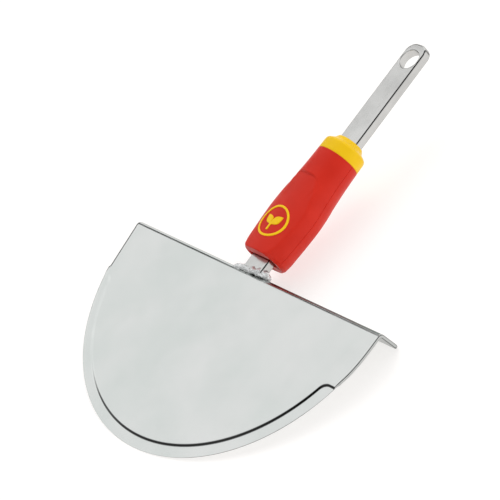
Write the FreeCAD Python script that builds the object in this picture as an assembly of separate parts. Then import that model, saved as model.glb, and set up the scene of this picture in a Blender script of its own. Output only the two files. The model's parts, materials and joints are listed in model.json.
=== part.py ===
"""Half-moon lawn-edging iron: the steel head of a quick-change garden tool.

The pieces are modelled upright in the tool's own directions (X along the fold, +Y behind the
blade, +Z up the tang, origin on the fold line at the blade's front face).  Every piece is then
laid down the same way, blade face up, so that it rests on the rim and on the tread's back edge.
"""
import FreeCAD
import Part
import math
import os

V = FreeCAD.Vector

# ---- driving dimensions, millimetres and degrees ----
BLADE_RADIUS = 112.5        # half of the 225 mm working width
BLADE_CENTRE_Z = -5.5       # centre of the half-moon arc, below the fold line
SHEET = 2.0                 # sheet steel thickness
BEND_START_Z = -1.0         # where the flat panel ends and the fold begins
BEND_RADIUS = 3.1           # outer radius of the fold
TREAD_TILT = 7.0            # the tread rises towards its back edge
TREAD_END_Y = 17.0          # centre of the tread's rounded back edge
TREAD_CORNER = 4.0          # plan radius of the tread's two back corners

RIM_WIDTH = 7.0             # coined cutting rim
RIM_RECESS = 0.6            # how far the rim lies behind the panel's face
RIM_WALL = 1.7              # width of the sloping wall between panel and rim
RIM_TOP_Z = -35.5           # the rim's two upper ends
SIDE_END = (108.6, -30.5)   # the straight sides slope in to here (x, z), short of the half circle
SPREAD_Z = -32.0            # from here down the thinned rim has spread out to the half circle
RIM_CORNER = 6.0            # radius where the wall turns out to the blade's edge
EDGE_BEVEL = 5.0            # width of the ground bevel on the blade's back
EDGE_LAND = 0.5             # thickness left at the cutting edge

TANG_WIDTH = 16.0
TANG_THICK = 6.0
TANG_Y = -0.3               # centre plane of the bar, and of sleeve and collar
TANG_FOOT_Z = 2.6
TANG_TOP_Z = 166.6
TANG_CORNER = 6.5           # radius of the two corners at the free end
TANG_EDGE = 0.7             # softened long edges
LATCH_HOLE_R = 6.45
LATCH_HOLE_Z = 155.6

WELD_R = 3.4                # fillet beads that join the bar's foot to the blade
WELD_FRONT_X = (-15.0, 9.5)
WELD_FRONT_YZ = (-0.7, 2.2)
WELD_REAR_X = (-10.5, 10.5)
WELD_REAR_YZ = (4.2, 4.5)

SLEEVE_BOTTOM_Z = 11.5
SLEEVE_TOP_Z = 83.0
# height and radius of the turned grip, from its lower lip to the collar
SLEEVE_PROFILE = [(11.5, 12.7), (12.4, 13.7), (15.0, 14.6), (24.0, 15.7), (33.0, 16.5), (42.0, 16.8),
                  (49.0, 16.1), (56.0, 15.1), (65.0, 14.2), (74.0, 13.7), (83.0, 13.4)]
LIP_DEPTH = 1.5             # recess in the lower end, round the bar
LIP_CLEAR = 1.6
PANEL_CROWN = 12.0          # from the bar's centre plane to the flattened panel, at the badge
PANEL_RADIUS = 29.0         # gentle crown across the panel
PANEL_TILT = 0.6            # the panel leans in towards its lower end
PANEL_SPRING_Z = 56.0       # up to here the panel takes the sleeve's whole width
PANEL_TOP_Z = 67.0          # top of the flat arch that ends the panel
PANEL_ARCH_HALF = 11.0      # half width of that arch
PANEL_ARCH_CORNER = 7.0     # radius of its two corners
WALL = 2.6                  # moulded wall of the two half shells
RIB = 2.0
RIB_Z = (22.0, 40.0, 53.0, 71.0)
POCKET_Z = (16.0, 74.5)

COLLAR_SPIGOT_R = 9.7
COLLAR_FLANGE_R = 11.0
COLLAR_FLANGE_Z = (77.0, 79.0)
COLLAR_TOP_Z = 95.4
# radius and height of the collar's outside, from the sleeve up to the boss that meets the handle
COLLAR_PROFILE = [(13.4, 83.0), (13.3, 89.5), (13.1, 90.3), (12.5, 91.2), (10.7, 92.1), (9.2, 93.3),
                  (8.7, 94.6), (8.1, COLLAR_TOP_Z)]

BADGE_Z = 31.2
BADGE_R = 10.4
BADGE_STROKE = 1.3
BADGE_THICK = 0.5

SCREW_Z = (31.2, 62.0)
SCREW_R = 1.9
SCREW_HOLE_R = 2.3          # clearance holes through the bar
SCREW_HEAD_R = 3.4
SCREW_HEAD_THICK = 2.4
SCREW_SINK = 1.2            # the heads sit this far under the rear panel
SCREW_TIP = 8.6             # reach of the screw in front of the bar's centre plane
BOSS_R = 4.6

MARGIN = 40.0               # overshoot of cutting bodies past the stock


def turned(points, z_axis_y=TANG_Y):
    """Solid of revolution about the bar's centre line from a closed (radius, z) outline."""
    wire = Part.makePolygon([V(r, z_axis_y, z) for r, z in points + points[:1]])
    return Part.Face(wire).revolve(V(0, z_axis_y, 0), V(0, 0, 1), 360)


def turned_smooth(profile, bottom, top):
    """Solid of revolution whose outside is a smooth curve through (z, radius) points."""
    curve = Part.BSplineCurve()
    curve.interpolate([V(r, TANG_Y, z) for z, r in profile])
    low, high = profile[0], profile[-1]
    corners = [V(high[1], TANG_Y, high[0]), V(0, TANG_Y, high[0]), V(0, TANG_Y, low[0]),
               V(low[1], TANG_Y, low[0])]
    wire = Part.Wire([curve.toShape()] + [Part.makeLine(a, b) for a, b in zip(corners, corners[1:])])
    body = Part.Face(wire).revolve(V(0, TANG_Y, 0), V(0, 0, 1), 360)
    slab = Part.makeBox(2 * MARGIN, 2 * MARGIN, top - bottom, V(-MARGIN, TANG_Y - MARGIN, bottom))
    return body.common(slab)


def rod(radius, start, end):
    """Cylinder between two points."""
    axis = end.sub(start)
    return Part.makeCylinder(radius, axis.Length, start, axis)


# ---- blade ----
def panel_wire(y):
    """Edge of the raised panel at depth y: an arc that turns out to the blade's sides at the top."""
    offset = RIM_WIDTH + RIM_WALL * (RIM_RECESS - y) / RIM_RECESS
    radius = BLADE_RADIUS - offset
    top_z = RIM_TOP_Z + RIM_WIDTH - offset
    turn_z = top_z - RIM_CORNER
    turn_x = math.sqrt((radius + RIM_CORNER) ** 2 - (turn_z - BLADE_CENTRE_Z) ** 2)
    reach = radius / (radius + RIM_CORNER)
    touch_x = turn_x * reach
    touch_z = BLADE_CENTRE_Z + (turn_z - BLADE_CENTRE_Z) * reach
    lean = math.atan2(touch_z - turn_z, touch_x - turn_x)
    middle = 0.5 * (lean + math.pi / 2)
    side = BLADE_RADIUS + MARGIN
    edges = [Part.Arc(V(-touch_x, y, touch_z), V(0, y, BLADE_CENTRE_Z - radius), V(touch_x, y, touch_z))]
    corner = V(turn_x + RIM_CORNER * math.cos(middle), y, turn_z + RIM_CORNER * math.sin(middle))
    edges.append(Part.Arc(V(touch_x, y, touch_z), corner, V(turn_x, y, top_z)))
    box = [V(turn_x, y, top_z), V(side, y, top_z), V(side, y, MARGIN), V(-side, y, MARGIN),
           V(-side, y, top_z), V(-turn_x, y, top_z)]
    edges += [Part.LineSegment(a, b) for a, b in zip(box, box[1:])]
    edges.append(Part.Arc(V(-turn_x, y, top_z), V(-corner.x, y, corner.z), V(-touch_x, y, touch_z)))
    return Part.Wire([edge.toShape() for edge in edges])


def make_blade():
    top = BEND_START_Z
    start_x = math.sqrt(BLADE_RADIUS ** 2 - (SPREAD_Z - BLADE_CENTRE_Z) ** 2)
    side_x, side_z = SIDE_END
    corners = [V(start_x, 0, SPREAD_Z), V(side_x, 0, side_z), V(BLADE_RADIUS, 0, top),
               V(-BLADE_RADIUS, 0, top), V(-side_x, 0, side_z), V(-start_x, 0, SPREAD_Z)]
    arc = Part.Arc(corners[-1], V(0, 0, BLADE_CENTRE_Z - BLADE_RADIUS), corners[0]).toShape()
    outline = Part.Wire([arc] + [Part.makeLine(a, b) for a, b in zip(corners, corners[1:])])
    plate = Part.Face(outline).extrude(V(0, SHEET, 0))

    tilt = math.radians(TREAD_TILT)
    along = V(0, math.cos(tilt), math.sin(tilt))
    upward = V(0, -math.sin(tilt), math.cos(tilt))
    centre = V(0, BEND_RADIUS, top)
    half = 0.5 * (0.5 * math.pi + tilt + math.pi)
    mid_way = V(0, math.cos(half), math.sin(half))
    length = (TREAD_END_Y - centre.y - (BEND_RADIUS - SHEET / 2) * upward.y) / along.y
    inner = BEND_RADIUS - SHEET

    def at(radius, run):
        return centre + upward * radius + along * run

    section = [
        Part.Arc(V(0, 0, top), centre + mid_way * BEND_RADIUS, at(BEND_RADIUS, 0)),
        Part.LineSegment(at(BEND_RADIUS, 0), at(BEND_RADIUS, length)),
        Part.Arc(at(BEND_RADIUS, length), at(BEND_RADIUS - SHEET / 2, length + SHEET / 2),
                 at(inner, length)),
        Part.LineSegment(at(inner, length), at(inner, 0)),
        Part.Arc(at(inner, 0), centre + mid_way * inner, V(0, SHEET, top)),
        Part.LineSegment(V(0, SHEET, top), V(0, 0, top)),
    ]
    tread = Part.Face(Part.Wire([edge.toShape() for edge in section]))
    tread.translate(V(-BLADE_RADIUS, 0, 0))
    tread = tread.extrude(V(2 * BLADE_RADIUS, 0, 0))
    back = TREAD_END_Y + SHEET / 2
    for side in (-1, 1):
        turn = V(side * (BLADE_RADIUS - TREAD_CORNER), back - TREAD_CORNER, -MARGIN)
        block = Part.makeBox(TREAD_CORNER, TREAD_CORNER, 2 * MARGIN,
                             V(min(turn.x, turn.x + side * TREAD_CORNER), turn.y, -MARGIN))
        tread = tread.cut(block.cut(Part.makeCylinder(TREAD_CORNER, 2 * MARGIN, turn)))
    blade = plate.fuse(tread).removeSplitter()

    slab = Part.makeBox(2 * BLADE_RADIUS + MARGIN, RIM_RECESS + 1.0, BLADE_RADIUS + MARGIN,
                        V(-BLADE_RADIUS - MARGIN / 2, -1.0, BLADE_CENTRE_Z - BLADE_RADIUS - MARGIN / 2))
    panel = Part.makeLoft([panel_wire(-1.0), panel_wire(RIM_RECESS)], True, True)
    blade = blade.cut(slab.cut(panel))

    land_y = RIM_RECESS + EDGE_LAND
    steep = (SHEET - land_y) / EDGE_BEVEL
    inside = BLADE_RADIUS - EDGE_BEVEL
    outside = BLADE_RADIUS + 2.0
    bevel = Part.makePolygon([V(inside, SHEET, BLADE_CENTRE_Z), V(outside, SHEET + 1.0, BLADE_CENTRE_Z),
                              V(outside, SHEET - steep * (outside - inside), BLADE_CENTRE_Z),
                              V(inside, SHEET, BLADE_CENTRE_Z)])
    start = math.degrees(math.asin((BLADE_CENTRE_Z - RIM_TOP_Z) / BLADE_RADIUS))
    ring = Part.Face(bevel)
    ring.rotate(V(0, 0, BLADE_CENTRE_Z), V(0, 1, 0), start)
    ring = ring.revolve(V(0, 0, BLADE_CENTRE_Z), V(0, 1, 0), 180 - 2 * start)
    return blade.cut(ring)


# ---- tang ----
def make_tang():
    half = TANG_WIDTH / 2
    front = TANG_Y - TANG_THICK / 2
    shoulder = TANG_TOP_Z - TANG_CORNER
    slant = TANG_CORNER * math.sqrt(0.5)
    turn = half - TANG_CORNER

    def end_corner(side, first, last):
        middle = V(side * (turn + slant), front, shoulder + slant)
        return Part.Arc(first, middle, last).toShape()

    low_left, low_right = V(-half, front, TANG_FOOT_Z), V(half, front, TANG_FOOT_Z)
    high_right, top_right = V(half, front, shoulder), V(turn, front, TANG_TOP_Z)
    top_left, high_left = V(-turn, front, TANG_TOP_Z), V(-half, front, shoulder)
    outline = Part.Wire([
        Part.makeLine(low_left, low_right), Part.makeLine(low_right, high_right),
        end_corner(1, high_right, top_right), Part.makeLine(top_right, top_left),
        end_corner(-1, top_left, high_left), Part.makeLine(high_left, low_left)])
    bar = Part.Face(outline).extrude(V(0, TANG_THICK, 0))
    long_edges = [edge for edge in bar.Edges
                  if abs(edge.BoundBox.YLength) < 0.01 and edge.BoundBox.ZMax > TANG_FOOT_Z + 1.0]
    bar = bar.makeFillet(TANG_EDGE, long_edges)
    for radius, z in [(LATCH_HOLE_R, LATCH_HOLE_Z)] + [(SCREW_HOLE_R, z) for z in SCREW_Z]:
        bar = bar.cut(rod(radius, V(0, -MARGIN, z), V(0, MARGIN, z)))
    return bar


# ---- weld ----
def make_weld(span, place):
    """Round-ended bead along the fold."""
    y, z = place
    start, end = V(span[0], y, z), V(span[1], y, z)
    bead = rod(WELD_R, start, end)
    for point in (start, end):
        bead = bead.fuse(Part.makeSphere(WELD_R, point))
    return bead.removeSplitter()


# ---- sleeve ----
def panel_cylinder(side, extra):
    """Crowned body whose skin is the grip's flattened panel; side -1 is the front, 1 the rear."""
    radius = PANEL_RADIUS + extra
    axis_y = TANG_Y + side * (PANEL_CROWN - PANEL_RADIUS)
    body = Part.makeCylinder(radius, 4 * MARGIN, V(0, axis_y, BADGE_Z - 2 * MARGIN))
    body.rotate(V(0, TANG_Y + side * PANEL_CROWN, BADGE_Z), V(1, 0, 0), -side * PANEL_TILT)
    return body


def panel_cutter(side):
    """What is shaved off the turned grip to leave one panel with an arched top."""
    slab = Part.makeBox(2 * MARGIN, MARGIN, PANEL_SPRING_Z + MARGIN, V(-MARGIN, 0, -MARGIN))
    arch = Part.makeBox(2 * PANEL_ARCH_HALF, MARGIN, PANEL_TOP_Z, V(-PANEL_ARCH_HALF, 0, 0))
    corners = [edge for edge in arch.Edges
               if edge.BoundBox.ZMin > PANEL_TOP_Z - 1.0 and edge.BoundBox.YLength > MARGIN / 2]
    shape = slab.fuse(arch.makeFillet(PANEL_ARCH_CORNER, corners))
    shape.translate(V(0, TANG_Y + 4.0 if side > 0 else TANG_Y - 4.0 - MARGIN, 0))
    return shape.cut(panel_cylinder(side, 0.0))


def bar_slot():
    """The rectangular way for the bar through sleeve and collar."""
    return Part.makeBox(TANG_WIDTH, TANG_THICK, COLLAR_TOP_Z + MARGIN,
                        V(-TANG_WIDTH / 2, TANG_Y - TANG_THICK / 2, 0))


def pockets():
    """The hollow cells between the ribs and bosses of the two half shells."""
    inner = [(z, r - WALL) for z, r in SLEEVE_PROFILE]
    hollow = turned_smooth(inner, POCKET_Z[0], POCKET_Z[1])
    for side in (-1, 1):
        hollow = hollow.common(panel_cylinder(side, -WALL))
    for z in RIB_Z:
        hollow = hollow.cut(Part.makeBox(2 * MARGIN, 2 * MARGIN, RIB, V(-MARGIN, -MARGIN, z - RIB / 2)))
    for z in SCREW_Z:
        hollow = hollow.cut(rod(BOSS_R, V(0, -MARGIN, z), V(0, MARGIN, z)))
    return hollow


def make_grip():
    """The whole grip before it is split, with the collar's seat and the way for the bar."""
    grip = turned_smooth(SLEEVE_PROFILE, SLEEVE_BOTTOM_Z, SLEEVE_TOP_Z)
    grip = grip.cut(panel_cutter(-1)).cut(panel_cutter(1))
    grip = grip.cut(pockets()).cut(bar_slot())
    low, high = COLLAR_FLANGE_Z
    grip = grip.cut(rod(COLLAR_FLANGE_R, V(0, TANG_Y, low), V(0, TANG_Y, high)))
    grip = grip.cut(rod(COLLAR_SPIGOT_R, V(0, TANG_Y, high), V(0, TANG_Y, SLEEVE_TOP_Z)))
    lip = Part.makeBox(TANG_WIDTH + 2 * LIP_CLEAR, TANG_THICK + 2 * LIP_CLEAR, LIP_DEPTH,
                       V(-TANG_WIDTH / 2 - LIP_CLEAR, TANG_Y - TANG_THICK / 2 - LIP_CLEAR, SLEEVE_BOTTOM_Z))
    return grip.cut(lip)


def half_of(body, side):
    """The part of a body in front of (side -1) or behind (side 1) the bar's centre plane."""
    start = TANG_Y if side > 0 else TANG_Y - MARGIN
    return body.common(Part.makeBox(2 * MARGIN, MARGIN, 4 * MARGIN, V(-MARGIN, start, -MARGIN)))


def rear_face_y(z):
    """Depth of the rear panel's skin on the centre line."""
    return TANG_Y + PANEL_CROWN + (z - BADGE_Z) * math.tan(math.radians(PANEL_TILT))


def screw_holes():
    """Pilot holes in the front shell and stepped holes in the rear one."""
    holes = []
    for z in SCREW_Z:
        seat = rear_face_y(z) - SCREW_SINK - SCREW_HEAD_THICK
        holes.append(rod(SCREW_R, V(0, TANG_Y - SCREW_TIP, z), V(0, seat, z)))
        holes.append(rod(SCREW_HEAD_R, V(0, seat, z), V(0, seat + MARGIN, z)))
    return Part.makeCompound(holes)


def make_screws():
    screws = []
    for z in SCREW_Z:
        seat = rear_face_y(z) - SCREW_SINK - SCREW_HEAD_THICK
        head = rod(SCREW_HEAD_R, V(0, seat, z), V(0, seat + SCREW_HEAD_THICK, z))
        shank = rod(SCREW_R, V(0, TANG_Y - SCREW_TIP, z), V(0, seat, z))
        screw = head.fuse(shank).removeSplitter()
        for wide, tall in ((3.6, 0.9), (0.9, 3.6)):
            cross = Part.makeBox(wide, 1.4, tall,
                                 V(-wide / 2, seat + SCREW_HEAD_THICK - 1.4, z - tall / 2))
            screw = screw.cut(cross)
        screws.append(screw)
    return Part.makeCompound(screws)


# ---- collar ----
def make_collar():
    low, high = COLLAR_FLANGE_Z
    outline = [(0, low), (COLLAR_FLANGE_R, low), (COLLAR_FLANGE_R, high), (COLLAR_SPIGOT_R, high),
               (COLLAR_SPIGOT_R, SLEEVE_TOP_Z)] + COLLAR_PROFILE + [(0, COLLAR_TOP_Z)]
    return turned(outline).cut(bar_slot())


# ---- badge ----
def on_panel(outline):
    """Thin relief of a flat outline, lying on the grip's front panel."""
    prism = outline.extrude(V(0, -MARGIN, 0))
    return prism.common(panel_cylinder(-1, BADGE_THICK)).cut(panel_cylinder(-1, 0.0))


def make_badge_ring():
    centre = V(0, TANG_Y - 4.0, BADGE_Z)
    outer = Part.Face(Part.Wire(Part.makeCircle(BADGE_R, centre, V(0, 1, 0))))
    inner = Part.Face(Part.Wire(Part.makeCircle(BADGE_R - BADGE_STROKE, centre, V(0, 1, 0))))
    return on_panel(outer.cut(inner))


def leaf(base_x, base_z, length, belly, turn):
    """One pointed leaf from its stalk end, leaning by turn degrees from upright."""
    tip = V(0, 0, length)
    root = V(0, 0, 0)
    right = Part.Arc(root, V(belly, 0, 0.45 * length), tip).toShape()
    left = Part.Arc(tip, V(-belly, 0, 0.45 * length), root).toShape()
    face = Part.Face(Part.Wire([right, left]))
    face.rotate(root, V(0, 1, 0), turn)
    face.translate(V(base_x, TANG_Y - 4.0, base_z))
    return face


def make_badge_leaf():
    """Two leaves on a short stalk."""
    foot = BADGE_Z - 2.2
    half, low, high = 0.6, foot - 4.4, foot + 1.4
    corners = [V(x, TANG_Y - 4.0, z) for x, z in
               ((-half, low), (half, low), (half, high), (-half, high), (-half, low))]
    stalk = Part.Face(Part.makePolygon(corners))
    motif = stalk.fuse([leaf(0, foot, 8.6, 2.6, 42), leaf(0, foot, 7.6, 2.4, -46)]).removeSplitter()
    faces = [on_panel(face) for face in motif.Faces]
    solid = faces[0]
    for other in faces[1:]:
        solid = solid.fuse(other)
    return solid.removeSplitter()


# ---- lay the tool down ----
def lean_angle():
    """Angle that puts the back of the blade's rim and the tread's back edge on one level."""
    tilt = math.radians(TREAD_TILT)
    end_z = BEND_START_Z + (BEND_RADIUS - SHEET / 2) * math.cos(tilt)
    end_z += (TREAD_END_Y - BEND_RADIUS) * math.tan(tilt)
    rise = TREAD_END_Y + SHEET / 2 - SHEET
    run = end_z - (BLADE_CENTRE_Z - BLADE_RADIUS + EDGE_BEVEL)
    return math.degrees(math.atan2(rise, run))


def lay_down(shape):
    shape.rotate(V(0, 0, 0), V(1, 0, 0), -90)
    shape.rotate(V(0, 0, 0), V(1, 0, 0), lean_angle())


def build():
    blade = make_blade()
    tang = make_tang()
    weld_front = make_weld(WELD_FRONT_X, WELD_FRONT_YZ).cut(blade).cut(tang)
    weld_rear = make_weld(WELD_REAR_X, WELD_REAR_YZ).cut(blade).cut(tang).cut(weld_front)
    grip = make_grip()
    holes = screw_holes()
    return {
        "blade": blade,
        "tang": tang,
        "weld_front": weld_front,
        "weld_rear": weld_rear,
        "sleeve_front": half_of(grip, -1).cut(holes),
        "sleeve_rear": half_of(grip, 1).cut(holes),
        "collar": make_collar(),
        "badge_ring": make_badge_ring(),
        "badge_leaf": make_badge_leaf(),
        "sleeve_screws": make_screws(),
    }


nodes = build()
for shape in nodes.values():
    lay_down(shape)
whole = Part.makeCompound(list(nodes.values())).optimalBoundingBox(False, False)
drop = V(-0.5 * (whole.XMin + whole.XMax), -0.5 * (whole.YMin + whole.YMax), -whole.ZMin)

os.makedirs("parts", exist_ok=True)
for name, shape in nodes.items():
    shape.translate(drop)
    shape.exportStep("parts/%s.step" % name)
    print("%-14s %d solid(s) %9.1f mm3 valid=%s" % (name, len(shape.Solids), shape.Volume, shape.isValid()))
print("size %.1f x %.1f x %.1f mm, laid down at %.3f degrees, moved by %s"
      % (whole.XLength, whole.YLength, whole.ZLength, lean_angle(), drop))
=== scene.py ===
"""Half-moon lawn-edging iron head: looks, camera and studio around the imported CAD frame.

The detailed pieces are drawn in the tool's own directions, in millimetres (X along the fold, +Y behind
the blade, Z up the tang, origin on the fold line), and are then laid into the frame by its mounts.
"""
import json
import math
import random

import bpy
import bmesh
import numpy as np
from mathutils import Matrix, Vector, noise
from mathutils.geometry import delaunay_2d_cdt


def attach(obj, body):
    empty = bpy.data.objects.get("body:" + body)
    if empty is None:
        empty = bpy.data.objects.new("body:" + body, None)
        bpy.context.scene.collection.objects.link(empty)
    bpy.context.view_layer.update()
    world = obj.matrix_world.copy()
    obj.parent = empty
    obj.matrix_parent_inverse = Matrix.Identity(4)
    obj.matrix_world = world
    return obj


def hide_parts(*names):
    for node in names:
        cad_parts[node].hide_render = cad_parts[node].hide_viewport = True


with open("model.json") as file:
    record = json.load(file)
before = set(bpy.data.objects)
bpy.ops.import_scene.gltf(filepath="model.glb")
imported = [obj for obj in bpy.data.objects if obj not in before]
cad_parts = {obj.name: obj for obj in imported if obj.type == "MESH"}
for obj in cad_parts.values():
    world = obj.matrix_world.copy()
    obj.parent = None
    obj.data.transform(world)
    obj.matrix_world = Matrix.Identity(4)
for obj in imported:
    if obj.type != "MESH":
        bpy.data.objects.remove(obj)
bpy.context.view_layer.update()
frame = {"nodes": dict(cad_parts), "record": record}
scene = bpy.context.scene

# ---- camera, in the frame's metres and degrees ----
CAMERA_TARGET = Vector((-0.010727, -0.012495, 0.022673))
CAMERA_DISTANCE = 1.56207
CAMERA_AZIMUTH = 70.110
CAMERA_ELEVATION = 37.259
CAMERA_ROLL = 34.547
CAMERA_LENS = 198.73

# ---- the tool's dimensions, millimetres; the frame is in metres ----
MM = 0.001

# blade: half-moon round (0, CENTRE_Z); above SPREAD_Z a small notch at SIDE_END, then the side up to the
# fold, which starts at BEND_Z
RADIUS = 112.47
CENTRE_Z = -5.5
SHEET = 2.0
BEND_Z = -1.0
BEND_R = 3.1
BEND_ANGLE = math.radians(83.0)
TREAD_RUN = 15.22
TREAD_CORNER = 4.0
SIDE_END = (108.6, -30.5)
SPREAD_Z = -32.0
SIDE_BOW = 3.2  # exponent of the right side's curve; higher stands out further
EDGE_R = 0.60
EDGE_SHARE = 0.26  # of the thickness, where that makes a smaller edge than EDGE_R
TREAD_EDGE = 0.35  # how much rounder the tread's free edge is
ROLL = 1.5  # how much further the left edge's rounding reaches in over the face
ROLL_X = (-60.0, -100.0)  # where that begins and is full

# rim: pressed back round the raised panel and ground thin behind
RIM_WIDTH = 7.1
RIM_DROP = 0.9
RIM_SHALLOW = 0.3  # share of that drop at the far left
RIM_FADE_X = (-84.0, -40.0)  # where the drop begins to grow and is full
RIM_WALL = 2.5
RIM_TOP_Z = -36.6
RIM_CORNER = 6.0
RIM_SHIFT = 0.9  # how far left of the middle the panel lies
BEVEL = 5.0
BEVEL_DEPTH = 0.8
BEVEL_FADE_Z = (-33.5, -35.5)

# bar
BAR_Y = -0.3
BAR_HALF = 8.0
BAR_THICK = 6.0
BAR_Z = (2.6, 166.6)
BAR_CORNER = 6.5
BAR_EDGE = 1.15
HOLE_R = 6.45
HOLE_Z = 155.6
HOLE_EDGE = 0.55

# weld beads
WELD_GRAIN = 0.24
WELD_LUMPS = 0.42
WELD_SINK = 0.05

# (z, radius) of the turned grip, and (radius, z) of the collar from its lower face up
SLEEVE = [(11.5, 12.7), (12.4, 13.7), (15.0, 14.6), (24.0, 15.7), (33.0, 16.5), (42.0, 16.8), (49.0, 16.1),
          (56.0, 15.1), (65.0, 14.2), (74.0, 13.7), (83.0, 13.4)]
COLLAR = [(13.4, 83.25), (13.37, 86.0), (13.3, 89.5), (13.1, 90.3), (12.5, 91.2), (10.7, 92.1), (9.2, 93.3),
          (8.7, 94.6), (8.1, 95.3)]
SLEEVE_Z = (11.9, 82.98)  # lowest and highest full outline; the lower edge rounds off below the first
LOW_EDGE = (0.9, 0.4)  # that rounding, inwards and down
TOP_EDGE = (0.32, 0.4)  # the upper edge's, inwards and up
RECESS = (2.4, 1.5)  # gap round the bar in the lower end, across and front to back
RECESS_TOP = 14.5
SEAM_LIP = (0.45, 0.4)  # rounded lip at the seam, width and depth
COLLAR_FLOOR = 84.0
COLLAR_GAP = 0.12

# flattened panel on the grip: crowned, with an arched top edge that has a fine groove
CROWN = 12.0
CROWN_RISE = 0.0022  # extra crown per squared millimetre of height above ARCH_Z[0]
PANEL_R = 29.0
PANEL_LEAN = math.tan(math.radians(0.6))
PANEL_EDGE = 0.35
ARCH_HALF = 11.0
ARCH_TOP = 65.0
ARCH_CORNER = 7.0
ARCH_STEP = 0.35
ARCH_GROOVE = (0.5, 0.20)  # width and depth
ARCH_Z = (50.0, 56.0)  # where the groove begins, and where it is full and the arch's step starts
BADGE_Z = 31.2
BADGE_R = 10.4
BADGE_STROKE = 1.3
BADGE_THICK = 0.5
BADGE_SINK = 0.25
SCREW_Z = (31.2, 62.0)
SCREW_SEAT_R = 3.45
SCREW_SEAT_Y = (-3.7, 4.0)  # bottom of the seat and top of its cutter, from the crown


# ---- from the tool's directions to the frame ----
def tool_to_frame():
    """Matrix from the tool's millimetres to the frame's metres, found from the two mounts."""
    mounts = {mount["name"]: mount for mount in frame["record"]["mounts"]}
    up = Vector(mounts["tang"]["axis"])
    back = -Vector(mounts["latch_hole"]["axis"])
    side = back.cross(up)
    turn = Matrix((side, back, up)).transposed()
    origin = Vector(mounts["tang"]["pos_m"]) - turn @ Vector((0.0, BAR_Y, BAR_Z[1])) * MM
    place = turn.to_4x4() @ Matrix.Scale(MM, 4)
    place.translation = origin
    return place


PLACE = np.array(tool_to_frame())
AXES = PLACE[:3, :3] / MM
SAME_POINT = 2e-6


def solid_mesh(name, points, faces):
    """Closed mesh in the frame from points in the tool's millimetres, its faces turned outwards."""
    points = np.asarray(points, float) @ PLACE[:3, :3].T + PLACE[:3, 3]
    mesh = bpy.data.meshes.new(name)
    mesh.from_pydata(points.tolist(), [], [list(face) for face in faces])
    work = bmesh.new()
    work.from_mesh(mesh)
    bmesh.ops.remove_doubles(work, verts=work.verts, dist=SAME_POINT)
    bmesh.ops.recalc_face_normals(work, faces=work.faces)
    work.to_mesh(mesh)
    work.free()
    return mesh


def new_piece(name, points, faces, node, material, weighted=True):
    """Smooth piece that stands for its CAD node and rides on the one body."""
    mesh = solid_mesh(name, points, faces)
    mesh.polygons.foreach_set("use_smooth", [True] * len(mesh.polygons))
    mesh.materials.append(material)
    piece = bpy.data.objects.new(name, mesh)
    scene.collection.objects.link(piece)
    if weighted:
        piece.modifiers.new("even_shading", "WEIGHTED_NORMAL").weight = 60
    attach(piece, "root")
    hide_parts(node)
    return piece


def ramp(value, start, end):
    """0 at start, 1 at end, held beyond both."""
    return np.clip((value - start) / (end - start), 0, 1)


def ease(share):
    """Soft start and stop for a share between 0 and 1."""
    return share * share * (3 - 2 * share)


# ---- plates: flat outlines with rounded edges, any relief on both faces, laid on any surface ----
CURVE_CLEARANCE = 0.12


def inside(points, loops):
    """True where a point lies within the loops (even-odd)."""
    hit = np.zeros(len(points), bool)
    for loop in loops:
        a, b = loop, np.roll(loop, -1, 0)
        for (x0, y0), (x1, y1) in zip(a, b):
            if y0 == y1:
                continue
            span = (points[:, 1] < y0) != (points[:, 1] < y1)
            hit ^= span & (points[:, 0] < x0 + (points[:, 1] - y0) * (x1 - x0) / (y1 - y0))
    return hit


def inward(loop):
    """Mitred normals of a closed loop, pointing to its left, where the material is."""
    step = np.roll(loop, -1, 0) - loop
    step /= np.linalg.norm(step, axis=1)[:, None]
    ahead = np.stack([-step[:, 1], step[:, 0]], 1)
    behind = np.roll(ahead, 1, 0)
    return (ahead + behind) / (1.0 + (ahead * behind).sum(1))[:, None]


def face_mesh(loops, curves):
    """Triangles of the area between loops, with edges along the curves, and where the loops' points went."""
    points = [tuple(p) for loop in loops for p in loop]
    edges = []
    start = 0
    for loop in loops:
        count = len(loop)
        edges += [(start + i, start + (i + 1) % count) for i in range(count)]
        start += count
    outline = np.concatenate(loops)
    for curve in curves:
        curve = np.asarray(curve, float)
        keep = inside(curve, loops)
        gap = np.array([np.min(np.hypot(*(outline - p).T)) if k else 0.0 for p, k in zip(curve, keep)])
        keep &= gap > CURVE_CLEARANCE
        for i, p in enumerate(curve):
            if keep[i]:
                points.append(tuple(p))
                if i and keep[i - 1]:
                    edges.append((len(points) - 2, len(points) - 1))
    made = delaunay_2d_cdt([Vector(p) for p in points], edges, [], 0, 1e-5, True)
    verts = np.array([tuple(v) for v in made[0]])
    tris = np.array([face for face in made[2] if len(face) == 3])
    tris = tris[inside(verts[tris].mean(1), loops)]
    where = np.zeros(len(points), int)
    for new, olds in enumerate(made[3]):
        for old in olds:
            where[old] = new
    return verts, tris, where[:start]


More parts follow.
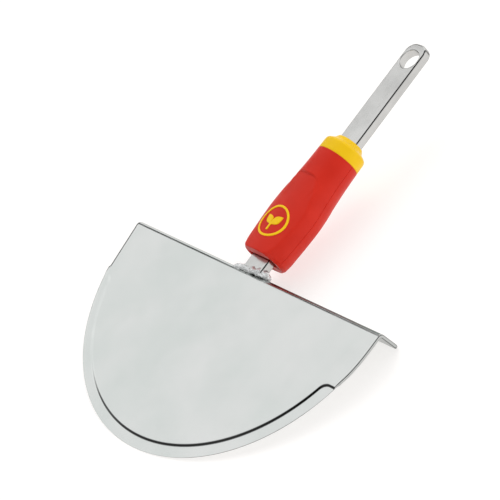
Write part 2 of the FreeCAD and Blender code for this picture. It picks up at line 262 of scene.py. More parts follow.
def plate(loops, radii, front, rear, place, curves_front=(), curves_rear=(), steps=3, rolls=None):
    """Closed plate: heights of its front and rear faces, edges rounded by radii, laid out by place.

    Rolls, where given, are how far the front edge's rounding reaches in over the face."""
    rings = []
    for loop, radius, roll in zip(loops, radii, rolls or radii):
        rings.append((loop, inward(loop), radius[:, None], roll[:, None]))
    front_loops = [loop + normal * roll for loop, normal, radius, roll in rings]
    rear_loops = [loop + normal * radius for loop, normal, radius, roll in rings]
    all_points, all_faces, count = [], [], 0
    walls = []
    for height, curves, flat_loops in ((front, curves_front, front_loops), (rear, curves_rear, rear_loops)):
        verts, tris, where = face_mesh(flat_loops, curves)
        all_points.append(place(verts, height(verts)))
        all_faces += (tris + count).tolist()
        walls.append(where + count)
        count += len(verts)
    turn = np.linspace(math.pi / 2, 0, steps + 1)[1:]
    start = 0
    for loop, normal, radius, roll in rings:
        size = len(loop)
        ids = [walls[0][start:start + size]]
        for angle in turn:
            spot = loop + normal * roll * (1 - math.cos(angle))
            level = front(spot) + radius[:, 0] * (1 - math.sin(angle))
            all_points.append(place(spot, level))
            ids.append(np.arange(size) + count)
            count += size
        for angle in turn[::-1]:
            spot = loop + normal * radius * (1 - math.cos(angle))
            level = rear(spot) - radius[:, 0] * (1 - math.sin(angle))
            all_points.append(place(spot, level))
            ids.append(np.arange(size) + count)
            count += size
        ids.append(walls[1][start:start + size])
        start += size
        for low, high in zip(ids, ids[1:]):
            for i in range(size):
                j = (i + 1) % size
                all_faces.append((low[i], low[j], high[j], high[i]))
    return np.concatenate(all_points), all_faces


def arc(cx, cy, radius, start, end, step):
    """Points along an arc, angles in radians, about one per step of length."""
    count = max(2, int(abs(end - start) * radius / step) + 1)
    angles = np.linspace(start, end, count)
    return np.stack([cx + radius * np.cos(angles), cy + radius * np.sin(angles)], 1)


def line(a, b, step):
    """Points along a straight line, about one per step of length."""
    count = max(2, int(math.dist(a, b) / step) + 1)
    return np.linspace(a, b, count)


def closed(*parts):
    """One loop from pieces that meet end to end."""
    loop = [parts[0][0]]
    for point in np.concatenate(parts):
        if math.dist(point, loop[-1]) > 1e-6:
            loop.append(point)
    if math.dist(loop[0], loop[-1]) < 1e-6:
        loop.pop()
    return np.array(loop)


# ---- blade: heights over the flat blank (x, s), s measured up from the start of the fold ----
CORNER_R = RADIUS - RIM_WIDTH + RIM_CORNER
CORNER_Z = RIM_TOP_Z - RIM_CORNER
CORNER = np.array([math.sqrt(CORNER_R ** 2 - (CORNER_Z - CENTRE_Z) ** 2), CORNER_Z])
CORNER_DIR = (np.array([0.0, CENTRE_Z]) - CORNER) / CORNER_R


def panel_distance(x, z):
    """How far a point lies outside the raised panel's border."""
    rho = np.hypot(x, z - CENTRE_Z)
    vx, vz = np.abs(x) - CORNER[0], z - CORNER[1]
    in_corner = (vx <= 0) & (vx * CORNER_DIR[1] - vz * CORNER_DIR[0] >= 0)
    distance = np.where(vx > 0, RIM_TOP_Z - z, rho - (RADIUS - RIM_WIDTH))
    return np.where(in_corner, RIM_CORNER - np.hypot(vx, vz), distance)


def panel_border(offset):
    """The panel's border, moved outwards by offset, from the middle of the arc to the blade's side."""
    radius = RADIUS - RIM_WIDTH + offset
    lean = math.atan2(CORNER[1] - CENTRE_Z, CORNER[0])
    low = arc(0, CENTRE_Z, radius, -math.pi / 2, lean, 0.9)
    turn = arc(CORNER[0], CORNER[1], RIM_CORNER - offset, lean + math.pi, math.pi / 2, 0.35)
    side = line((CORNER[0], RIM_TOP_Z - offset), (RADIUS, RIM_TOP_Z - offset), 0.5)
    return np.concatenate([low, turn[1:], side[1:]])


def blade_front(p):
    """The rim is pressed back from the panel, less deep towards the left."""
    x, z = p[:, 0], np.minimum(p[:, 1] + BEND_Z, 0)
    share = ramp(panel_distance(x + RIM_SHIFT, z), -RIM_WALL / 2, RIM_WALL / 2)
    depth = RIM_SHALLOW + (1 - RIM_SHALLOW) * ramp(x, *RIM_FADE_X)
    return RIM_DROP * depth * ease(share)


def blade_rear(p):
    """The cutting edge is ground thin from behind."""
    x, z = p[:, 0], p[:, 1] + BEND_Z
    ground = np.clip(np.hypot(x, z - CENTRE_Z) - (RADIUS - BEVEL), 0, None) * BEVEL_DEPTH / BEVEL
    return SHEET - ground * ramp(z, *BEVEL_FADE_Z)


def on_blade(p, height):
    """Folds the blank: flat panel, bend, then the tread."""
    x, s = p[:, 0], p[:, 1]
    bent = np.clip(s / BEND_R, 0, BEND_ANGLE)
    run = np.maximum(s - BEND_R * BEND_ANGLE, 0)
    radius = BEND_R - height
    y = BEND_R - radius * np.cos(bent) + run * math.sin(BEND_ANGLE)
    z = BEND_Z + radius * np.sin(bent) + run * math.cos(BEND_ANGLE) + np.minimum(s, 0)
    return np.stack([x, y, z], 1)


def mirrored(half):
    """A right-hand line from x = 0 outwards and back, with its left-hand copy, as one closed loop."""
    left = half[::-1].copy()
    left[:, 0] *= -1
    return closed(half, left)


def blade_outline(top, side_rows):
    """Outline of the blank up to its top: the right-hand half mirrored, then the right side bowed out."""
    start_x = math.sqrt(RADIUS ** 2 - (SPREAD_Z - CENTRE_Z) ** 2)
    low = math.atan2(SPREAD_Z - CENTRE_Z, start_x)
    side_end = (SIDE_END[0], SIDE_END[1] - BEND_Z)
    outline = mirrored(np.concatenate([
        arc(0, CENTRE_Z - BEND_Z, RADIUS, -math.pi / 2, low, 0.7),
        line((start_x, SPREAD_Z - BEND_Z), side_end, 0.5)[1:],
        line(side_end, (RADIUS, 0), 0.9)[1:],
        np.stack([np.full(len(side_rows) - 1, RADIUS), side_rows[1:]], 1),
        line((RADIUS, side_rows[-1]), (RADIUS, top - TREAD_CORNER), 0.9)[1:],
        arc(RADIUS - TREAD_CORNER, top - TREAD_CORNER, TREAD_CORNER, 0, math.pi / 2, 0.35)[1:],
        line((RADIUS - TREAD_CORNER, top), (0, top), 2.5)[1:]]))
    down = -outline[:, 1] / (BEND_Z - SPREAD_Z)
    bowed = RADIUS - (RADIUS - start_x) * np.clip(down, 0, 1) ** SIDE_BOW
    right_side = (outline[:, 0] > 0) & (down > 0) & (down < 1)
    outline[:, 0] = np.where(right_side, bowed, outline[:, 0])
    return outline


def make_blade(material):
    """Blade with its pressed rim, ground edge, fold and tread, drawn as a blank and then folded."""
    top = BEND_R * BEND_ANGLE + TREAD_RUN
    rows = np.linspace(0, BEND_R * BEND_ANGLE, 15)
    outline = blade_outline(top, rows)
    radius = np.minimum(EDGE_R, EDGE_SHARE * (blade_rear(outline) - blade_front(outline)))
    radius += TREAD_EDGE * ramp(outline[:, 1], top - TREAD_CORNER, top)
    roll = radius + ROLL * ramp(outline[:, 0], *ROLL_X)
    fold_rows = [*rows, -0.8, rows[-1] + 0.8]
    fold = [np.stack([np.linspace(-RADIUS, RADIUS, 91), np.full(91, s)], 1) for s in fold_rows]
    front_lines = list(fold)
    for offset in np.linspace(-RIM_WALL / 2, RIM_WALL / 2, 9):
        border = panel_border(offset)
        both = np.concatenate([border[::-1] * np.array([-1, 1]), border[1:]])
        front_lines.append(both - np.array([RIM_SHIFT, BEND_Z]))
    rear_lines = list(fold)
    for inset in (BEVEL + 0.15, BEVEL, BEVEL - 0.3):
        rear_lines.append(arc(0, CENTRE_Z - BEND_Z, RADIUS - inset, math.pi + 0.2, 2 * math.pi - 0.2, 0.9))
    points, faces = plate([outline], [radius], blade_front, blade_rear, on_blade, front_lines, rear_lines,
                          steps=5, rolls=[roll])
    new_piece("blade_skin", points, faces, "blade", material)


# ---- tang ----
def flat_face(height):
    """Face of a plate at the same height all over."""
    return lambda p: np.full(len(p), height)


def make_tang(material):
    """Flat bar with a rounded end and the latch hole."""
    low, high = BAR_Z
    turn = BAR_HALF - BAR_CORNER
    outline = mirrored(np.concatenate([
        line((0, low), (BAR_HALF, low), 2.0),
        line((BAR_HALF, low), (BAR_HALF, high - BAR_CORNER), 3.0)[1:],
        arc(turn, high - BAR_CORNER, BAR_CORNER, 0, math.pi / 2, 0.35)[1:],
        line((turn, high), (0, high), 1.0)[1:]]))
    hole = closed(arc(0, HOLE_Z, HOLE_R, 0, -2 * math.pi, 0.4))
    radii = [np.full(len(outline), BAR_EDGE), np.full(len(hole), HOLE_EDGE)]

    def on_bar(p, height):
        return np.stack([p[:, 0], BAR_Y - BAR_THICK / 2 + height, p[:, 1]], 1)

    points, faces = plate([outline, hole], radii, flat_face(0.0), flat_face(BAR_THICK), on_bar, steps=5)
    new_piece("tang_bar", points, faces, "tang", material)


# ---- weld beads ----
def make_weld(name, node, path, seed, material):
    """Hand-laid bead: puddles of metal along a path of (x, y, z, radius), run together, with a lumpy skin."""
    rng = random.Random(seed)
    path = np.array(path, float)
    work = bmesh.new()
    along = np.concatenate([[0], np.cumsum(np.linalg.norm(np.diff(path[:, :3], axis=0), axis=1))])
    run = 0.0
    while run <= along[-1]:
        x, y, z, radius = (np.interp(run, along, path[:, k]) for k in range(4))
        stray = Vector((rng.uniform(-0.3, 0.3), rng.uniform(-0.5, 0.5), rng.uniform(-0.4, 0.4)))
        place = Matrix.Translation(Vector((x, y, z)) + stray)
        turn = Matrix.Rotation(rng.uniform(0, 3.0), 4, (0.3, 1.0, 0.2))
        shape = Matrix.Diagonal((rng.uniform(0.8, 1.25), rng.uniform(0.85, 1.1), rng.uniform(0.8, 1.1), 1))
        bmesh.ops.create_icosphere(work, subdivisions=3, radius=radius, matrix=place @ turn @ shape)
        run += radius * rng.uniform(0.45, 0.95)
    mesh = bpy.data.meshes.new("puddles")
    work.to_mesh(mesh)
    work.free()
    lump = bpy.data.objects.new("puddles", mesh)
    scene.collection.objects.link(lump)
    melt = lump.modifiers.new("melt", "REMESH")
    melt.mode = "VOXEL"
    melt.voxel_size = WELD_GRAIN
    flow = lump.modifiers.new("flow", "SMOOTH")
    flow.factor = 0.6
    flow.iterations = 3
    bpy.context.view_layer.update()
    skin = bpy.data.meshes.new_from_object(lump.evaluated_get(bpy.context.evaluated_depsgraph_get()))
    bpy.data.objects.remove(lump)
    points = []
    for v in skin.vertices:
        lumps = WELD_LUMPS * noise.fractal(v.co * 0.6, 1.1, 2.1, 2)
        points.append(tuple(v.co + v.normal * (lumps - WELD_SINK)))
    faces = [tuple(face.vertices) for face in skin.polygons]
    new_piece(name, points, faces, node, material, weighted=False)


# ---- moulded grip ----
def smooth_profile(samples):
    """Cubic curve through (z, radius) samples, read at any height."""
    z, r = np.array(samples).T
    slope = np.gradient(r, z)

    def read(height):
        i = np.clip(np.searchsorted(z, height) - 1, 0, len(z) - 2)
        span = z[i + 1] - z[i]
        t = np.clip((height - z[i]) / span, 0, 1)
        return ((2 * t ** 3 - 3 * t ** 2 + 1) * r[i] + (t ** 3 - 2 * t ** 2 + t) * span * slope[i]
                + (3 * t ** 2 - 2 * t ** 3) * r[i + 1] + (t ** 3 - t ** 2) * span * slope[i + 1])

    return read


turned_radius = smooth_profile(SLEEVE)


def crown_at(z):
    """How far the panel's middle stands out from the bar's axis."""
    return CROWN + (z - BADGE_Z) * PANEL_LEAN + CROWN_RISE * np.maximum(z - ARCH_Z[0], 0) ** 2


def soft_min(a, b, blend):
    """The lesser of two values, with the corner between them rounded."""
    share = np.clip(0.5 + 0.5 * (b - a) / blend, 0, 1)
    return b + (a - b) * share - blend * share * (1 - share)


def grip_radius(angle, z):
    """Radius of the grip's skin; angle 0 looks out of the panel, a right angle is the seam."""
    turned = turned_radius(z)
    back = PANEL_R - crown_at(z)
    flat = -back * np.cos(angle) + np.sqrt(PANEL_R ** 2 - (back * np.sin(angle)) ** 2)
    shaved = soft_min(turned, flat, PANEL_EDGE)
    across = np.maximum(np.abs(turned * np.sin(angle)) - (ARCH_HALF - ARCH_CORNER), 0)
    above = np.maximum(z - (ARCH_TOP - ARCH_CORNER), 0)
    edge = np.hypot(across, above) - ARCH_CORNER
    beyond = np.where(z < ARCH_Z[1], -1.0, edge)
    radius = shaved + (turned - shaved) * ease(ramp(beyond, -ARCH_STEP, ARCH_STEP))
    groove_width, groove_depth = ARCH_GROOVE
    radius = radius - groove_depth * np.exp(-(edge / groove_width) ** 2) * ramp(z, *ARCH_Z)
    lip_width, lip_depth = SEAM_LIP
    from_seam = np.maximum((math.pi / 2 - np.abs(angle)) * radius, 0)
    lip = np.clip(1 - from_seam / lip_width, 0, 1)
    return radius - lip_depth * (1 - np.sqrt(np.clip(1 - lip * lip, 0, 1)))


def box_radius(angle, half_x, half_y):
    """Radius of a rectangle's outline in a direction."""
    return np.minimum(half_x / np.maximum(np.abs(np.sin(angle)), 1e-9),
                      half_y / np.maximum(np.abs(np.cos(angle)), 1e-9))


def round_bar(rows, angles, side):
    """Points of rows (radii, z) round the bar's axis; angle 0 looks forwards for side -1, back for 1."""
    return [(r * math.sin(a), BAR_Y + side * r * math.cos(a), z)
            for radii, z in rows for r, a in zip(radii, angles)]


def row_faces(total, count, around):
    """Quads from each row of points to the next and from the last to the first."""
    faces = []
    for j in range(total):
        k = (j + 1) % total
        for i in range(count if around else count - 1):
            n = (i + 1) % count
            faces.append((j * count + i, j * count + n, k * count + n, k * count + i))
    return faces


def make_half(name, node, side, material):
    """One moulded half: outer skin, rounded lower edge, recess round the bar, closed at the bar."""
    seam = math.pi / 2
    low, top = SLEEVE_Z
    recess_size = (BAR_HALF + RECESS[0], BAR_THICK / 2 + RECESS[1])
    corners = [math.atan2(BAR_HALF, BAR_THICK / 2), math.atan2(*recess_size)]
    angles = np.concatenate([
        np.linspace(0, 1.42, 58), corners, seam - np.linspace(0.13, 0.04, 8),
        seam - np.array([0.032, 0.027, 0.022, 0.017, 0.012, 0.008, 0.004, 0.0])])
    angles = np.unique(np.round(angles, 5))
    angles = np.concatenate([-angles[:0:-1], angles])
    heights = np.concatenate([
        [top, 82.9, 82.75, 82.5, 82.0], np.linspace(81.5, 70.0, 24), np.linspace(69.7, 54, 54),
        np.linspace(53.4, 15.5, 60), np.linspace(15.1, low, 10)])
    rows = []
    for z in heights:
        radius = grip_radius(angles, np.full(len(angles), z))
        over = max(0.0, (z - (SLEEVE[-1][0] - TOP_EDGE[1])) / TOP_EDGE[1])
        rows.append((radius - TOP_EDGE[0] * (1 - math.sqrt(max(0.0, 1 - over ** 2))), z))
    edge = grip_radius(angles, np.full(len(angles), low))
    for a in np.radians(np.linspace(15, 90, 6)):
        rows.append((edge - LOW_EDGE[0] * (1 - math.cos(a)), low - LOW_EDGE[1] * math.sin(a)))
    recess = box_radius(angles, *recess_size)
    bar = box_radius(angles, BAR_HALF, BAR_THICK / 2)
    rows += [(recess + 0.35, low - LOW_EDGE[1]), (recess + 0.1, low - 0.3), (recess, low - 0.05)]
    rows += [(recess, RECESS_TOP), (bar, RECESS_TOP), (bar, top)]
    count, total = len(angles), len(rows)
    faces = row_faces(total, count, around=False)
    faces.append(tuple(j * count for j in range(total)))
    faces.append(tuple(j * count + count - 1 for j in range(total)))
    return new_piece(name, round_bar(rows, angles, side), faces, node, material)


def sink_screws(piece):
    """Round seats for the screw heads, cut into the rear half."""
    around = 48
    faces = [(k, (k + 1) % around, around + (k + 1) % around, around + k) for k in range(around)]
    faces += [tuple(range(around)), tuple(range(around, 2 * around))]
    ring = np.linspace(0, 2 * math.pi, around, endpoint=False)
    for z in SCREW_Z:
        x, up = SCREW_SEAT_R * np.cos(ring), z + SCREW_SEAT_R * np.sin(ring)
        ends = [BAR_Y + crown_at(z) + y for y in SCREW_SEAT_Y]
        points = np.concatenate([np.stack([x, np.full(around, y), up], 1) for y in ends])
        cutter = bpy.data.objects.new("seat_cutter", solid_mesh("seat_cutter", points, faces))
        scene.collection.objects.link(cutter)
        cut = piece.modifiers.new("seat", "BOOLEAN")
        cut.object = cutter
        cut.operation = "DIFFERENCE"
        cut.solver = "EXACT"
        piece.modifiers.move(len(piece.modifiers) - 1, 0)
        bpy.context.view_layer.update()
        shape = bpy.data.meshes.new_from_object(piece.evaluated_get(bpy.context.evaluated_depsgraph_get()))
        piece.modifiers.remove(cut)
        piece.data = shape
        bpy.data.objects.remove(cutter)


def make_collar(material):
    """Turned collar with rounded edges and the slot for the bar."""
    corner = math.atan2(BAR_HALF, BAR_THICK / 2)
    corners = [k * math.pi + lean for k in (0, 1, 2) for lean in (corner, -corner)]
    angles = np.concatenate([np.linspace(0, 2 * math.pi, 120, endpoint=False), corners])
    angles = np.unique(np.round(angles, 5))
    angles = angles[(angles >= 0) & (angles < 2 * math.pi - 1e-4)]
    outer = [(12.9, 82.99), (13.1, 83.0), (13.28, 83.06)]
    for (r0, z0), (r1, z1) in zip(COLLAR, COLLAR[1:]):
        outer += [(r0 + (r1 - r0) * t, z0 + (z1 - z0) * t) for t in (0.0, 0.33, 0.67)]
    rounded = np.array(outer + [COLLAR[-1]])
    for _ in range(3):
        rounded[4:-1] = 0.25 * rounded[3:-2] + 0.5 * rounded[4:-1] + 0.25 * rounded[5:]
    rows = [(np.full(len(angles), r), z) for r, z in rounded]
    bar = box_radius(angles, BAR_HALF + COLLAR_GAP, BAR_THICK / 2 + COLLAR_GAP)
    mouth_r, mouth_z = COLLAR[-1]
    rows += [(np.minimum(bar + 0.6, mouth_r - 0.05), mouth_z + 0.05)]
    rows += [(np.minimum(bar + 0.25, mouth_r - 0.1), mouth_z + 0.02)]
    rows += [(bar, mouth_z - 0.25), (bar, 92.0), (bar, COLLAR_FLOOR)]
    faces = row_faces(len(rows), len(angles), around=True)
    new_piece("collar_ring", round_bar(rows, angles, -1), faces, "collar", material)


# ---- badge on the front panel ----
def on_panel(p, height):
    """Lays a plate on the panel, its front face standing out by the badge's thickness."""
    x, z = p[:, 0], p[:, 1]
    depth = crown_at(z) - PANEL_R + np.sqrt(PANEL_R ** 2 - x ** 2)
    return np.stack([x, BAR_Y - depth - BADGE_THICK + height, z], 1)


def make_badge(name, node, loops, edge, material):
    """Thin plate that follows the panel's crown, sunk a little into it."""
    reach = math.ceil(BADGE_R)
    grid = [line((-reach - 1, z), (reach + 1, z), 1.0) for z in BADGE_Z + np.arange(-reach, reach + 1.0)]
    radii = [np.full(len(loop), edge) for loop in loops]
    rear = flat_face(BADGE_THICK + BADGE_SINK)
    points, faces = plate(loops, radii, flat_face(0.0), rear, on_panel, grid, grid)
    new_piece(name, points, faces, node, material)


def leaf_side(foot, length, belly, turn, side):
    """One edge of a pointed leaf, from its stalk end to its tip."""
    share = np.linspace(0, 1, 22)
    out = side * belly * np.sin(np.pi * share ** 0.9)
    along = length * share
    c, s = math.cos(math.radians(turn)), math.sin(math.radians(turn))
    return np.stack([foot[0] + out * c + along * s, foot[1] - out * s + along * c], 1)


def make_badge_pieces(material):
    """The ring and, inside it, a sprout: a stalk with a larger right and a smaller left leaf."""
    outer = closed(arc(0, BADGE_Z, BADGE_R, 0, 2 * math.pi, 0.5))
    inner = closed(arc(0, BADGE_Z, BADGE_R - BADGE_STROKE, 0, -2 * math.pi, 0.5))
    make_badge("badge_band", "badge_ring", [outer, inner], 0.2, material)
    foot = BADGE_Z - 2.2
    right = ((0.2, foot), 8.3, 2.5, 42)
    left = ((-0.2, foot), 7.4, 2.3, -46)
    sprout = closed(
        line((0.6, foot - 4.2), (0.6, foot - 0.6), 0.5),
        leaf_side(*right, 1)[2:], leaf_side(*right, -1)[::-1][:-2],
        leaf_side(*left, 1)[2:], leaf_side(*left, -1)[::-1][:-2],
        line((-0.6, foot - 0.6), (-0.6, foot - 4.2), 0.5))
    make_badge("badge_sprout", "badge_leaf", [sprout], 0.16, material)


# ---- materials ----
def shader(name, metallic, roughness):
    """New material with its nodes, its links and its surface node."""
    mat = bpy.data.materials.new(name)
    mat.use_nodes = True
    nodes = mat.node_tree.nodes
    bsdf = nodes["Principled BSDF"]
    bsdf.inputs["Metallic"].default_value = metallic
    bsdf.inputs["Roughness"].default_value = roughness
    return mat, nodes, mat.node_tree.links, bsdf


def noise_node(nodes, links, scale, detail, stretch=(1, 1, 1)):
    """Noise in the piece's own coordinates, scale in features per metre."""
    place = nodes.new("ShaderNodeTexCoord")
    squeeze = nodes.new("ShaderNodeMapping")
    squeeze.inputs["Scale"].default_value = stretch
    cells = nodes.new("ShaderNodeTexNoise")
    cells.inputs["Scale"].default_value = scale
    cells.inputs["Detail"].default_value = detail
    links.new(place.outputs["Object"], squeeze.inputs["Vector"])
    links.new(squeeze.outputs["Vector"], cells.inputs["Vector"])
    return cells.outputs["Fac"]


def spread(nodes, links, value, low, high, to_min, to_max, smooth=False):
    """Value between low and high carried over to between to_min and to_max."""
    remap = nodes.new("ShaderNodeMapRange")
    if smooth:
        remap.interpolation_type = "SMOOTHSTEP"
    for socket, number in (("From Min", low), ("From Max", high), ("To Min", to_min), ("To Max", to_max)):
        remap.inputs[socket].default_value = number
    links.new(value, remap.inputs["Value"])
    return remap.outputs["Result"]


def dot(nodes, links, vector, direction):
    """A vector's extent along a fixed direction."""
    part = nodes.new("ShaderNodeVectorMath")
    part.operation = "DOT_PRODUCT"
    part.inputs[1].default_value = direction
    links.new(vector, part.inputs[0])
    return part.outputs["Value"]


def tint(nodes, links, value, dark, light):
    """Colour from dark to light over the middle of the value's run."""
    ramp = nodes.new("ShaderNodeValToRGB")
    ramp.color_ramp.elements[0].position = 0.35
    ramp.color_ramp.elements[1].position = 0.65
    ramp.color_ramp.elements[0].color = (*dark, 1)
    ramp.color_ramp.elements[1].color = (*light, 1)
    links.new(value, ramp.inputs["Fac"])
    return ramp.outputs["Color"]


def relief(nodes, links, value, strength, distance, below=None):
    """Bump from a value, laid over another bump if there is one."""
    bump = nodes.new("ShaderNodeBump")
    bump.inputs["Strength"].default_value = strength
    bump.inputs["Distance"].default_value = distance
    links.new(value, bump.inputs["Height"])
    if below is not None:
        links.new(below, bump.inputs["Normal"])
    return bump.outputs["Normal"]


def steel(name, dark, light, rough, cloud, ripple, streaks=(1, 1, 1), metallic=1.0):
    """Bright steel: cloudy sheen, faint marks that streaks can draw out one way, slight waviness."""
    mat, nodes, links, bsdf = shader(name, metallic, rough[0])
    bsdf.inputs["Specular Tint"].default_value = (0.68, 0.68, 0.68, 1)
    clouds = noise_node(nodes, links, cloud, 4.0)
    links.new(tint(nodes, links, clouds, dark, light), bsdf.inputs["Base Color"])
    haze = noise_node(nodes, links, cloud * 2.7, 5.0)
    links.new(spread(nodes, links, haze, 0.3, 0.7, rough[0], rough[1]), bsdf.inputs["Roughness"])
    waves = relief(nodes, links, noise_node(nodes, links, cloud * 0.6, 2.0), ripple, 0.0012)
    marks = relief(nodes, links, noise_node(nodes, links, 900.0, 3.0, streaks), 0.12, 0.00004, waves)
    links.new(marks, bsdf.inputs["Normal"])
    return mat


def product(nodes, links, first, second):
    """Two values multiplied."""
    both = nodes.new("ShaderNodeMath")
    both.operation = "MULTIPLY"
    links.new(first, both.inputs[0])
    links.new(second, both.inputs[1])
    return both.outputs["Value"]


def paint_shade(nodes, links, bsdf, mask, colour):
    """Multiplies the base colour by a colour where the mask is 1, to paint in shade."""
    mix = nodes.new("ShaderNodeMix")
    mix.data_type = "RGBA"
    mix.blend_type = "MULTIPLY"
    links.new(mask, mix.inputs["Factor"])
    links.new(bsdf.inputs["Base Color"].links[0].from_socket, mix.inputs[6])
    mix.inputs[7].default_value = (*colour, 1)
    links.new(mix.outputs[2], bsdf.inputs["Base Color"])


def band(nodes, links, axis, low, high, soft):
    """1 between two places along one of the tool's axes (millimetres), falling to 0 outside them.

    Soft is half the width of the rise at low and of the fall at high."""
    place = nodes.new("ShaderNodeTexCoord")
    shift = nodes.new("ShaderNodeVectorMath")
    shift.operation = "SUBTRACT"
    shift.inputs[1].default_value = PLACE[:3, 3]
    links.new(place.outputs["Object"], shift.inputs[0])
    along = dot(nodes, links, shift.outputs["Vector"], AXES[:, axis] / MM)
    rise = spread(nodes, links, along, low - soft[0], low + soft[0], 0.0, 1.0)
    fall = spread(nodes, links, along, high - soft[1], high + soft[1], 1.0, 0.0)
    return product(nodes, links, rise, fall)


def facing(nodes, links, direction):
    """How squarely the skin faces one of the tool's directions."""
    skin = nodes.new("ShaderNodeNewGeometry")
    return dot(nodes, links, skin.outputs["True Normal"], AXES @ np.array(direction, float))


def paint_slope_shade(mat, direction, rise, fall, level, within=None):
    """Painted shade: a dark line where the skin turns away from a direction, between the cosines of rise and
    of fall.

    Within limits it to a band along one axis (millimetres)."""
    nodes, links = mat.node_tree.nodes, mat.node_tree.links
    value = facing(nodes, links, direction)
    mask = product(nodes, links, spread(nodes, links, value, *rise, 0.0, 1.0),
                   spread(nodes, links, value, *fall, 1.0, 0.0))
    if within:
        mask = product(nodes, links, mask, band(nodes, links, *within))
    # painted shade, multiplied into the base colour
    paint_shade(nodes, links, nodes["Principled BSDF"], mask, (level, level, level))


def paint_blade_shade(mat):
    """Painted shade: dark reflection along the fold's right-hand half, darker right side, dark rolled left
    edge.
    """
    nodes, links = mat.node_tree.nodes, mat.node_tree.links
    bsdf = nodes["Principled BSDF"]
    across = band(nodes, links, 0, 16.0, 111.3, (14.0, 0.3))
    behind = band(nodes, links, 1, -0.5, 3.6, (0.3, 0.3))
    above = band(nodes, links, 2, 0.45, 3.0, (0.25, 0.25))
    fold = product(nodes, links, product(nodes, links, across, behind), above)
    # painted shade and reflection: a dark blue-grey streak along the fold's right-hand half
    paint_shade(nodes, links, bsdf, fold, (0.27, 0.32, 0.32))
    right = facing(nodes, links, (1, 0, 0))
    # painted shade: the face turned to the right is painted darker
    paint_shade(nodes, links, bsdf, spread(nodes, links, right, 0.90, 0.96, 0.0, 1.0), (0.76, 0.76, 0.76))
    # painted shade: a near-black line on the rolled left edge, where the skin turns to the left
    rolled = spread(nodes, links, right, -0.14, -0.08, 1.0, 0.0)
    straight = band(nodes, links, 2, -32.5, 1.0, (0.5, 0.5))
    paint_shade(nodes, links, bsdf, product(nodes, links, rolled, straight), (0.12, 0.12, 0.12))


def plastic(name, dark, light, rough, grain):
    """Moulded plastic: even colour, very fine grain, slightly uneven gloss."""
    mat, nodes, links, bsdf = shader(name, 0.0, rough[0])
    bsdf.inputs["Specular IOR Level"].default_value = 0.16
    clouds = noise_node(nodes, links, 60.0, 3.0)
    links.new(tint(nodes, links, clouds, dark, light), bsdf.inputs["Base Color"])
    gloss = noise_node(nodes, links, 140.0, 3.0)
    links.new(spread(nodes, links, gloss, 0.3, 0.7, rough[0], rough[1]), bsdf.inputs["Roughness"])
    pores = noise_node(nodes, links, 2600.0, 2.0)
    links.new(relief(nodes, links, pores, grain, 0.00003), bsdf.inputs["Normal"])
    return mat


def floor_paper():
    """Pale paper, lit a little from within so that it stays white under the tool."""
    mat, nodes, links, bsdf = shader("floor_paper", 0.0, 0.9)
    bsdf.inputs["Specular IOR Level"].default_value = 0.0
    clouds = noise_node(nodes, links, 3.0, 3.0)
    links.new(tint(nodes, links, clouds, (0.44, 0.44, 0.44), (0.46, 0.46, 0.46)), bsdf.inputs["Base Color"])
    bsdf.inputs["Emission Color"].default_value = (1, 0.975, 0.955, 1)
    bsdf.inputs["Emission Strength"].default_value = 0.65
    return mat


blade_steel = steel("blade_steel", (0.61, 0.64, 0.625), (0.665, 0.68, 0.67), (0.16, 0.26), 22.0, 0.10,
                    streaks=(1, 0.06, 1))
# painted shade and reflection on the blade's fold and edges
paint_blade_shade(blade_steel)
# painted shade: dark lines on the blade's rounded right edge and on the rim's wall
paint_slope_shade(blade_steel, (1, 0, 0), (0.30, 0.42), (0.88, 0.94), 0.10)
paint_slope_shade(blade_steel, (0, -1, 0), (0.60, 0.75), (0.90, 0.955), 0.08, (2, -200.0, -33.0, (1.5, 1.0)))
tang_steel = steel("tang_steel", (0.53, 0.53, 0.52), (0.61, 0.61, 0.60), (0.12, 0.24), 60.0, 0.42,
                   streaks=(1, 0.05, 1))
# painted shade: dark line along the tang's rounded right-hand corner
paint_slope_shade(tang_steel, (1, 0, 0), (0.24, 0.36), (0.78, 0.86), 0.10,
              (0, BAR_HALF - 1.8, BAR_HALF + 1.0, (0.3, 0.3)))
weld_steel = steel("weld_steel", (0.68, 0.70, 0.70), (0.84, 0.85, 0.85), (0.20, 0.34), 220.0, 0.3,
                   metallic=0.6)
screw_steel = steel("screw_steel", (0.50, 0.51, 0.52), (0.58, 0.58, 0.58), (0.25, 0.40), 300.0, 0.10)
grip_red = plastic("grip_red", (0.60, 0.022, 0.010), (0.65, 0.027, 0.013), (0.34, 0.44), 0.25)
collar_yellow = plastic("collar_yellow", (0.86, 0.53, 0.006), (0.91, 0.58, 0.009), (0.32, 0.42), 0.15)
badge_yellow = plastic("badge_yellow", (0.90, 0.56, 0.006), (0.94, 0.61, 0.010), (0.30, 0.40), 0.10)

make_blade(blade_steel)
make_tang(tang_steel)
make_weld("weld_bead_front", "weld_front", [
    (-18.5, 0.9, 0.7, 0.9), (-15.0, 0.2, 2.3, 1.6), (-8.0, -1.3, 2.9, 2.0), (0.0, -1.9, 2.8, 2.1),
    (6.0, -1.9, 3.3, 2.5), (8.3, 0.0, 4.0, 2.3), (8.3, 3.6, 3.7, 2.0)], 11, weld_steel)
make_weld("weld_bead_rear", "weld_rear", [
    (-9.0, 3.4, 4.0, 2.2), (-4.0, 4.2, 4.3, 2.8), (3.0, 4.2, 4.2, 2.9), (8.5, 3.8, 4.0, 2.4)], 5, weld_steel)
make_half("grip_half_front", "sleeve_front", -1, grip_red)
sink_screws(make_half("grip_half_rear", "sleeve_rear", 1, grip_red))
make_collar(collar_yellow)
make_badge_pieces(badge_yellow)
screws = frame["nodes"]["sleeve_screws"]
screws.data.materials.clear()
screws.data.materials.append(screw_steel)


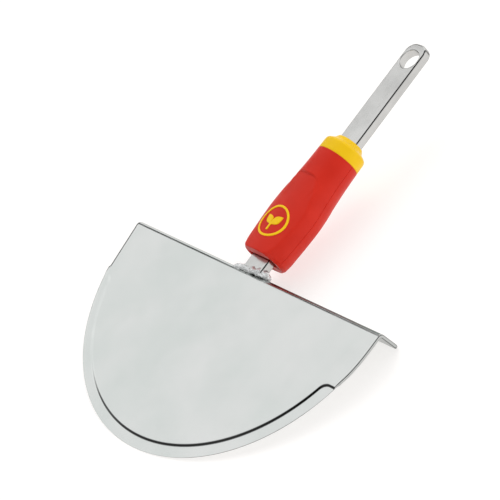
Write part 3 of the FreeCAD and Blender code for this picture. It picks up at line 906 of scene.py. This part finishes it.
# ---- studio ----
def make_camera():
    """Long-lens camera that looks down on the tool, rolled to one side."""
    azimuth, elevation = math.radians(CAMERA_AZIMUTH), math.radians(CAMERA_ELEVATION)
    forward = Vector((-math.sin(azimuth) * math.cos(elevation), math.cos(azimuth) * math.cos(elevation),
                      -math.sin(elevation)))
    aim = forward.to_track_quat("-Z", "Y").to_matrix()
    roll = Matrix.Rotation(math.radians(-CAMERA_ROLL), 3, "Z")
    data = bpy.data.cameras.new("camera")
    data.lens = CAMERA_LENS
    data.clip_end = 20.0
    camera = bpy.data.objects.new("camera", data)
    place = (aim @ roll).to_4x4()
    place.translation = CAMERA_TARGET - forward * CAMERA_DISTANCE
    camera.matrix_world = place
    scene.collection.objects.link(camera)
    scene.camera = camera


def make_floor():
    """Plain floor, wide enough to fill the view from any side."""
    mesh = bpy.data.meshes.new("floor")
    mesh.from_pydata([(-4, -4, 0), (4, -4, 0), (4, 4, 0), (-4, 4, 0)], [], [(0, 1, 2, 3)])
    floor = bpy.data.objects.new("floor", mesh)
    mesh.materials.append(floor_paper())
    scene.collection.objects.link(floor)


def make_world(base, patches):
    """Soft white surroundings with brighter and darker patches, as soft boxes and flags give.

    A patch has a direction, the cosines at which it begins and is full, and its brightness."""
    world = bpy.data.worlds.new("studio")
    world.use_nodes = True
    nodes, links = world.node_tree.nodes, world.node_tree.links
    sky = nodes.new("ShaderNodeTexCoord").outputs["Generated"]
    glow = None
    for direction, wide, narrow, brightness in patches:
        near = dot(nodes, links, sky, Vector(direction).normalized())
        mix = nodes.new("ShaderNodeMix")
        mix.data_type = "FLOAT"
        links.new(spread(nodes, links, near, wide, narrow, 0.0, 1.0, smooth=True), mix.inputs["Factor"])
        if glow is None:
            mix.inputs["A"].default_value = base
        else:
            links.new(glow, mix.inputs["A"])
        mix.inputs["B"].default_value = brightness
        glow = mix.outputs["Result"]
    links.new(glow, nodes["Background"].inputs["Strength"])
    nodes["Background"].inputs["Color"].default_value = (1.0, 1.0, 1.0, 1)
    scene.world = world


def make_light(name, place, size, power):
    """Round soft light aimed at the frame's origin, left out of reflections."""
    data = bpy.data.lights.new(name, "AREA")
    data.shape = "DISK"
    data.size = size
    data.energy = power
    light = bpy.data.objects.new(name, data)
    light.location = place
    light.visible_glossy = False
    light.rotation_mode = "QUATERNION"
    light.rotation_quaternion = (-Vector(place)).to_track_quat("-Z", "Y")
    scene.collection.objects.link(light)


make_camera()
make_floor()
make_world(1.15, [
    ((0.75, 0.06, 0.66), 0.71, 0.85, 0.45),
    ((0.15, -0.42, 0.89), 0.88, 0.94, 0.45),
    ((-0.35, -0.72, 0.55), 0.72, 0.88, 0.40),
    ((-0.75, 0.06, 0.66), 0.82, 0.95, 1.075),
    ((-0.93, 0.00, 0.37), 0.965, 0.985, 1.24),
    ((-0.77, 0.42, 0.48), 0.972, 0.986, 0.02),
    ((-1.00, 0.12, 0.02), 0.945, 0.970, 0.03),
])
make_light("key", (-0.9, 1.0, 1.5), 1.2, 8.5)
make_light("side", (1.5, -0.4, 0.7), 1.0, 5.5)
scene.view_settings.view_transform = "Standard"
